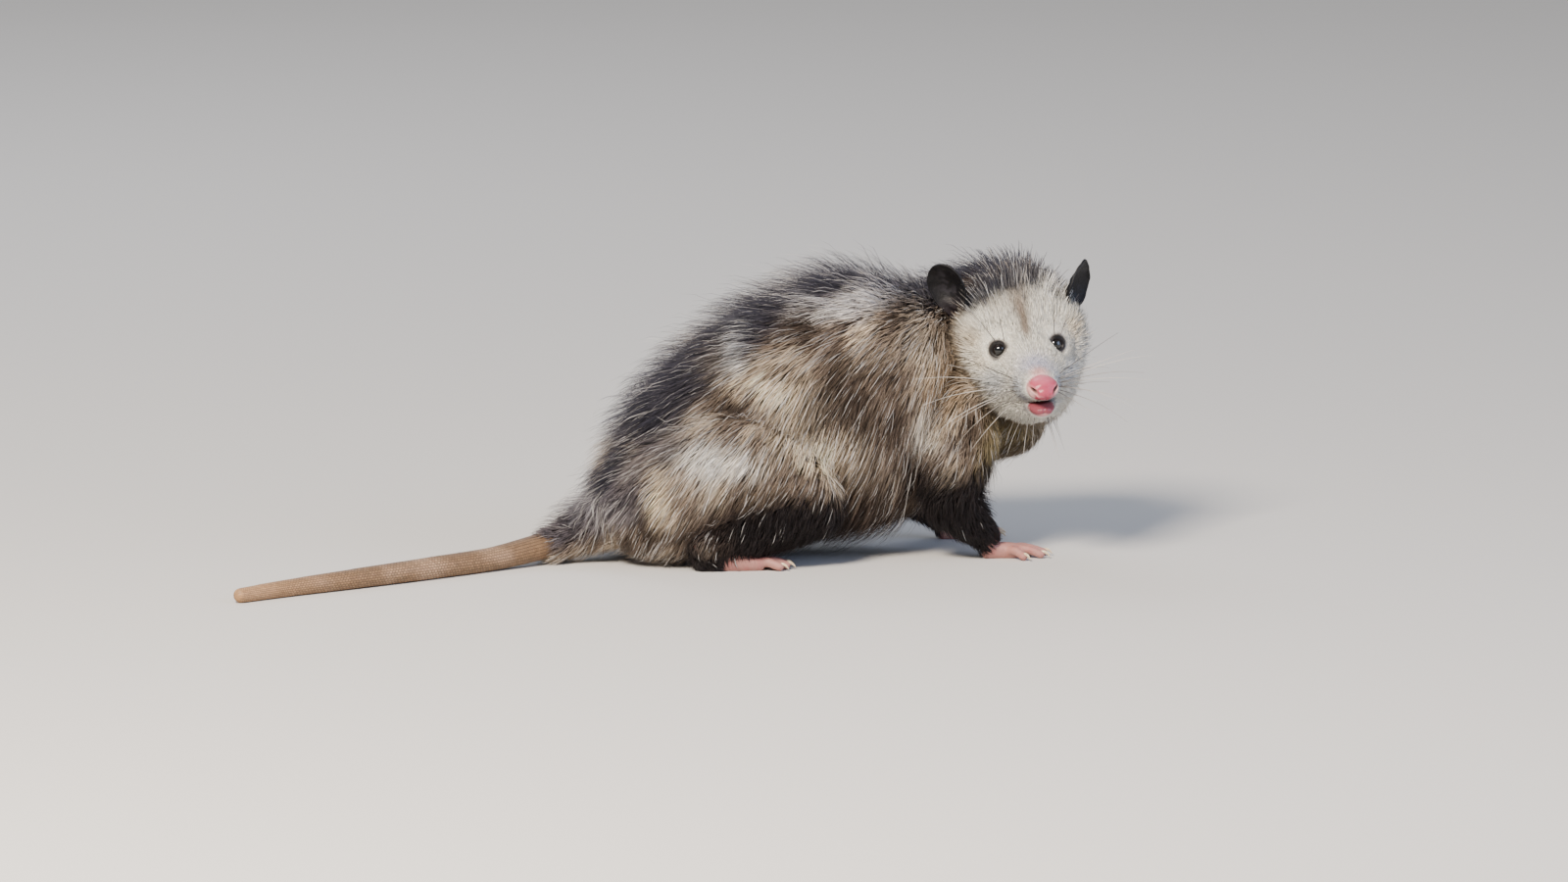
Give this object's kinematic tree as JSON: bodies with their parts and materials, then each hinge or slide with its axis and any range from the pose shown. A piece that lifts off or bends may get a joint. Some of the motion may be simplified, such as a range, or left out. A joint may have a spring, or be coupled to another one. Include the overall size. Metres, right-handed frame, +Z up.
{
  "type": "Virginia opossum, still life-size model",
  "caption": "Virginia opossum as a still, life-size museum model, standing low on all fours with its head turned to its right and its tail laid on the ground.",
  "frame": {"origin": "middle of the model's box on the ground, between the fore and hind feet", "axes": "+X the way the body points, +Y the animal's left, +Z up from the ground"},
  "size_m": [0.7784, 0.25, 0.2436],
  "materials": {
    "body_fur": "long grizzled hair, matte with a soft sheen",
    "dark_leg_fur": "brown-black hair, matte",
    "face_fur": "short cream hair, matte",
    "ear_skin": "thin bare skin, satin",
    "nose_skin": "moist bare skin, semi-gloss",
    "paw_skin": "bare skin, satin",
    "tail_skin": "fine scales with sparse hair, satin",
    "claw_horn": "horn, semi-gloss",
    "eye": "wet black, gloss",
    "whisker_hair": "stiff hair, satin"
  },
  "bodies": {
    "root": {"head": "face_fur", "jaw": "face_fur", "lower_lip": "nose_skin", "nose": "nose_skin", "eye_right": "eye", "whisker_pad_right": "whisker_hair", "eye_left": "eye", "whisker_pad_left": "whisker_hair", "ear_right": "ear_skin", "ear_left": "ear_skin", "claw_hand_right_i": "claw_horn", "claw_hand_right_ii": "claw_horn", "claw_hand_right_iii": "claw_horn", "claw_hand_right_iv": "claw_horn", "claw_hand_right_v": "claw_horn", "hand_right": "paw_skin", "claw_foot_right_v": "claw_horn", "claw_foot_right_iv": "claw_horn", "claw_foot_right_iii": "claw_horn", "claw_foot_right_ii": "claw_horn", "foot_right": "paw_skin", "claw_hand_left_i": "claw_horn", "claw_hand_left_ii": "claw_horn", "claw_hand_left_iii": "claw_horn", "claw_hand_left_iv": "claw_horn", "claw_hand_left_v": "claw_horn", "hand_left": "paw_skin", "claw_foot_left_v": "claw_horn", "claw_foot_left_iv": "claw_horn", "claw_foot_left_iii": "claw_horn", "claw_foot_left_ii": "claw_horn", "foot_left": "paw_skin", "tail_1": "tail_skin", "tail_2": "tail_skin", "tail_3": "tail_skin", "tail_4": "tail_skin", "forearm_right": "dark_leg_fur", "upper_arm_right": "dark_leg_fur", "shank_right": "dark_leg_fur", "thigh_right": "body_fur", "forearm_left": "dark_leg_fur", "upper_arm_left": "dark_leg_fur", "shank_left": "dark_leg_fur", "thigh_left": "body_fur", "neck": "body_fur", "torso": "body_fur"}
  },
  "joints": []
}
